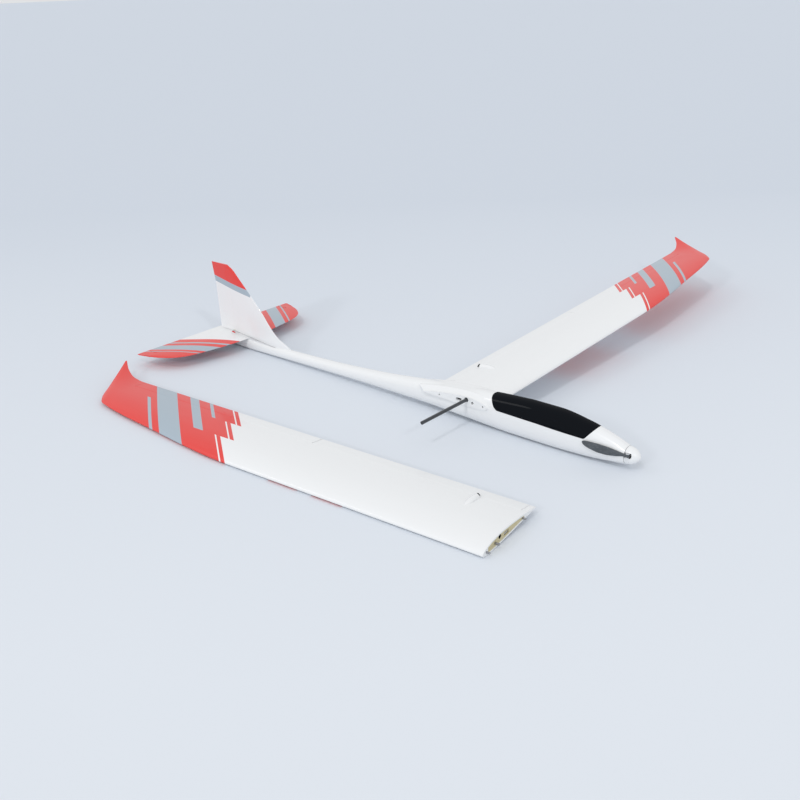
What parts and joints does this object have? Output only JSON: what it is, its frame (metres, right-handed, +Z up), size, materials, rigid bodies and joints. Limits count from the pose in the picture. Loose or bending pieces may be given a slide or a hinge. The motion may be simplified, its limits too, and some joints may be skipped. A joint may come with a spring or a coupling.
{
  "type": "radio-controlled electric glider",
  "caption": "Radio-controlled electric glider: pod and boom fuselage, folding propeller, lift-off canopy, tail, and plug-in wing panels, one fitted and one laid beside it.",
  "frame": {"origin": "middle of the flat rest under the fuselage's belly, on its centre plane, at ground height", "axes": "+X to the nose along the fuselage, +Y to the left wing tip, +Z up; the right panel lies on the same ground at the right of the fuselage"},
  "size_m": [1.3646, 1.8117, 0.232],
  "materials": {
    "film_white": "glossy covering film",
    "film_red": "glossy covering film",
    "shell_white": "glossy gelcoat",
    "canopy_black": "glossy",
    "carbon": "woven carbon, satin",
    "blade_grey": "matt",
    "ply": "sawn plywood",
    "steel": "bright steel",
    "alloy": "turned",
    "fibreglass": "satin",
    "servo_case": "satin",
    "white_plastic": "satin",
    "battery_wrap": "satin",
    "strap": "woven",
    "gold": "anodised"
  },
  "bodies": {
    "fuselage": {"fuselage_shell": "shell_white", "firewall": "ply", "motor_base": "alloy", "motor_screws": "steel", "formers": "ply", "equipment_tray": "ply", "battery": "battery_wrap", "battery_strap": "strap", "esc": "servo_case", "receiver": "servo_case", "elevator_servo": "servo_case", "rudder_servo": "servo_case", "guide_tubes": "white_plastic", "wing_joiner": "carbon", "joiner_tube": "fibreglass", "stabilizer": "film_white", "stab_screws": "steel", "rudder_hinge_wire": "steel", "elevator_hinge_wire": "steel"},
    "left_wing": {"left_panel": "film_white", "left_root_rib": "ply", "left_joiner_socket": "fibreglass", "left_root_pins": "alloy", "left_flap_fairing": "white_plastic", "left_aileron_servo": "servo_case"},
    "left_flap_body": {"left_flap": "film_white"},
    "left_flap_pushrod_body": {"left_flap_pushrod": "steel"},
    "left_aileron_body": {"left_aileron": "film_red"},
    "left_aileron_pushrod_body": {"left_aileron_pushrod": "steel"},
    "left_aileron_arm_body": {"left_aileron_servo_arm": "white_plastic"},
    "right_wing": {"right_panel": "film_white", "right_root_rib": "ply", "right_joiner_socket": "fibreglass", "right_root_pins": "alloy", "right_flap_fairing": "white_plastic", "right_aileron_servo": "servo_case"},
    "right_flap_body": {"right_flap": "film_white"},
    "right_flap_pushrod_body": {"right_flap_pushrod": "steel"},
    "right_aileron_body": {"right_aileron": "film_red"},
    "right_aileron_pushrod_body": {"right_aileron_pushrod": "steel"},
    "right_aileron_arm_body": {"right_aileron_servo_arm": "white_plastic"},
    "canopy_body": {"canopy": "canopy_black", "canopy_frame": "ply", "canopy_magnets": "steel"},
    "propeller": {"spinner": "shell_white", "spinner_screw": "steel", "prop_yoke": "alloy", "motor_shaft": "steel", "motor_bell": "gold", "blade_pins": "steel"},
    "blade_left_body": {"blade_left": "blade_grey"},
    "blade_right_body": {"blade_right": "blade_grey"},
    "rudder_body": {"rudder": "film_white", "rudder_horn": "white_plastic"},
    "elevator_body": {"elevator": "film_white", "elevator_horn": "white_plastic"},
    "elevator_pushrod_body": {"elevator_pushrod": "steel"},
    "rudder_pushrod_body": {"rudder_pushrod": "steel"},
    "elevator_arm_body": {"elevator_servo_arm": "white_plastic"},
    "rudder_arm_body": {"rudder_servo_arm": "white_plastic"}
  },
  "joints": [
    {"name": "left_wing_pull", "type": "slide", "parent": "fuselage", "child": "left_wing", "axis": [0, 1, 0], "range_m": [0, 0.2]},
    {"name": "right_wing_lift", "type": "slide", "parent": "fuselage", "child": "right_wing", "axis": [0, 0, 1], "range_m": [0, 0.3]},
    {"name": "canopy_lift", "type": "slide", "parent": "fuselage", "child": "canopy_body", "axis": [0, 0, 1], "range_m": [0, 0.08]},
    {"name": "shaft_turn", "type": "hinge", "parent": "fuselage", "child": "propeller", "pos_m": [0.238, 0, 0.032], "axis": [1, 0, 0], "range_deg": [-4, 38]},
    {"name": "blade_left_fold", "type": "hinge", "parent": "propeller", "child": "blade_left_body", "pos_m": [0.238, 0.01973, 0.02482], "axis": [0, -0.342, -0.9397], "range_deg": [0, 81.5]},
    {"name": "blade_right_fold", "type": "hinge", "parent": "propeller", "child": "blade_right_body", "pos_m": [0.238, -0.01973, 0.03918], "axis": [0, 0.342, 0.9397], "range_deg": [0, 81.5]},
    {"name": "rudder_hinge", "type": "hinge", "parent": "fuselage", "child": "rudder_body", "pos_m": [-1.01166, 0, 0.0425], "axis": [-0.1108, 0, 0.9938], "range_deg": [-26, 26]},
    {"name": "elevator_hinge", "type": "hinge", "parent": "fuselage", "child": "elevator_body", "pos_m": [-1.068, 0, 0.033], "axis": [0, 1, 0], "range_deg": [-20, 20]},
    {"name": "elevator_pushrod_slide", "type": "slide", "parent": "fuselage", "child": "elevator_pushrod_body", "axis": [0.9997, 0.0109, 0.0212], "range_m": [-0.0048, 0.0048]},
    {"name": "elevator_servo_turn", "type": "hinge", "parent": "fuselage", "child": "elevator_arm_body", "pos_m": [-0.033, 0.009, 0.0443], "axis": [0, 0, 1], "range_deg": [-26, 26]},
    {"name": "rudder_pushrod_slide", "type": "slide", "parent": "fuselage", "child": "rudder_pushrod_body", "axis": [0.9994, -0.0195, 0.0297], "range_m": [-0.006, 0.006]},
    {"name": "rudder_servo_turn", "type": "hinge", "parent": "fuselage", "child": "rudder_arm_body", "pos_m": [-0.033, -0.009, 0.0443], "axis": [0, 0, 1], "range_deg": [-31, 31]},
    {"name": "left_flap_hinge", "type": "hinge", "parent": "left_wing", "child": "left_flap_body", "pos_m": [-0.26181, 0.04707, 0.0551], "axis": [0, 0.9988, 0.0489], "range_deg": [-50, 8]},
    {"name": "left_flap_pushrod_slide", "type": "slide", "parent": "left_wing", "child": "left_flap_pushrod_body", "axis": [0.9997, -0.0013, 0.0262], "range_m": [-0.0075, 0.0015]},
    {"name": "left_aileron_hinge", "type": "hinge", "parent": "left_wing", "child": "left_aileron_body", "pos_m": [-0.26181, 0.57504, 0.08094], "axis": [0, 0.9988, 0.0486], "range_deg": [-20, 20]},
    {"name": "left_aileron_pushrod_slide", "type": "slide", "parent": "left_wing", "child": "left_aileron_pushrod_body", "axis": [0.9963, -0.0042, 0.0861], "range_m": [-0.0055, 0.0055]},
    {"name": "left_aileron_servo_turn", "type": "hinge", "parent": "left_wing", "child": "left_aileron_arm_body", "pos_m": [-0.19079, 0.85609, 0.0949], "axis": [0, 0.9988, 0.0489], "range_deg": [-36, 36]},
    {"name": "right_flap_hinge", "type": "hinge", "parent": "right_wing", "child": "right_flap_body", "pos_m": [0.17737, -0.3048, 0.0167], "axis": [0.9972, 0.075, 0], "range_deg": [-50, 8]},
    {"name": "right_flap_pushrod_slide", "type": "slide", "parent": "right_wing", "child": "right_flap_pushrod_body", "axis": [0.075, -0.9955, -0.0575], "range_m": [-0.0075, 0.0015]},
    {"name": "right_aileron_hinge", "type": "hinge", "parent": "right_wing", "child": "right_aileron_body", "pos_m": [-0.34974, -0.34444, 0.01672], "axis": [0.9972, 0.075, 0.0002], "range_deg": [-20, 20]},
    {"name": "right_aileron_pushrod_slide", "type": "slide", "parent": "right_wing", "child": "right_aileron_pushrod_body", "axis": [0.075, -0.9972, 0.0025], "range_m": [-0.0055, 0.0055]},
    {"name": "right_aileron_servo_turn", "type": "hinge", "parent": "right_wing", "child": "right_aileron_arm_body", "pos_m": [-0.62504, -0.43613, 0.011], "axis": [0.9972, 0.075, 0], "range_deg": [-36, 36]}
  ],
  "couplings": [
    {"joint": "elevator_pushrod_slide", "follows": "elevator_hinge", "m_per_rad": -0.0127},
    {"joint": "elevator_servo_turn", "follows": "elevator_hinge", "ratio": 1.18},
    {"joint": "rudder_pushrod_slide", "follows": "rudder_hinge", "m_per_rad": 0.0121},
    {"joint": "rudder_servo_turn", "follows": "rudder_hinge", "ratio": 1.13},
    {"joint": "left_flap_pushrod_slide", "follows": "left_flap_hinge", "m_per_rad": 0.008},
    {"joint": "left_aileron_pushrod_slide", "follows": "left_aileron_hinge", "m_per_rad": -0.0141},
    {"joint": "left_aileron_servo_turn", "follows": "left_aileron_hinge", "ratio": 1.68},
    {"joint": "right_flap_pushrod_slide", "follows": "right_flap_hinge", "m_per_rad": 0.008},
    {"joint": "right_aileron_pushrod_slide", "follows": "right_aileron_hinge", "m_per_rad": -0.0141},
    {"joint": "right_aileron_servo_turn", "follows": "right_aileron_hinge", "ratio": 1.68}
  ]
}
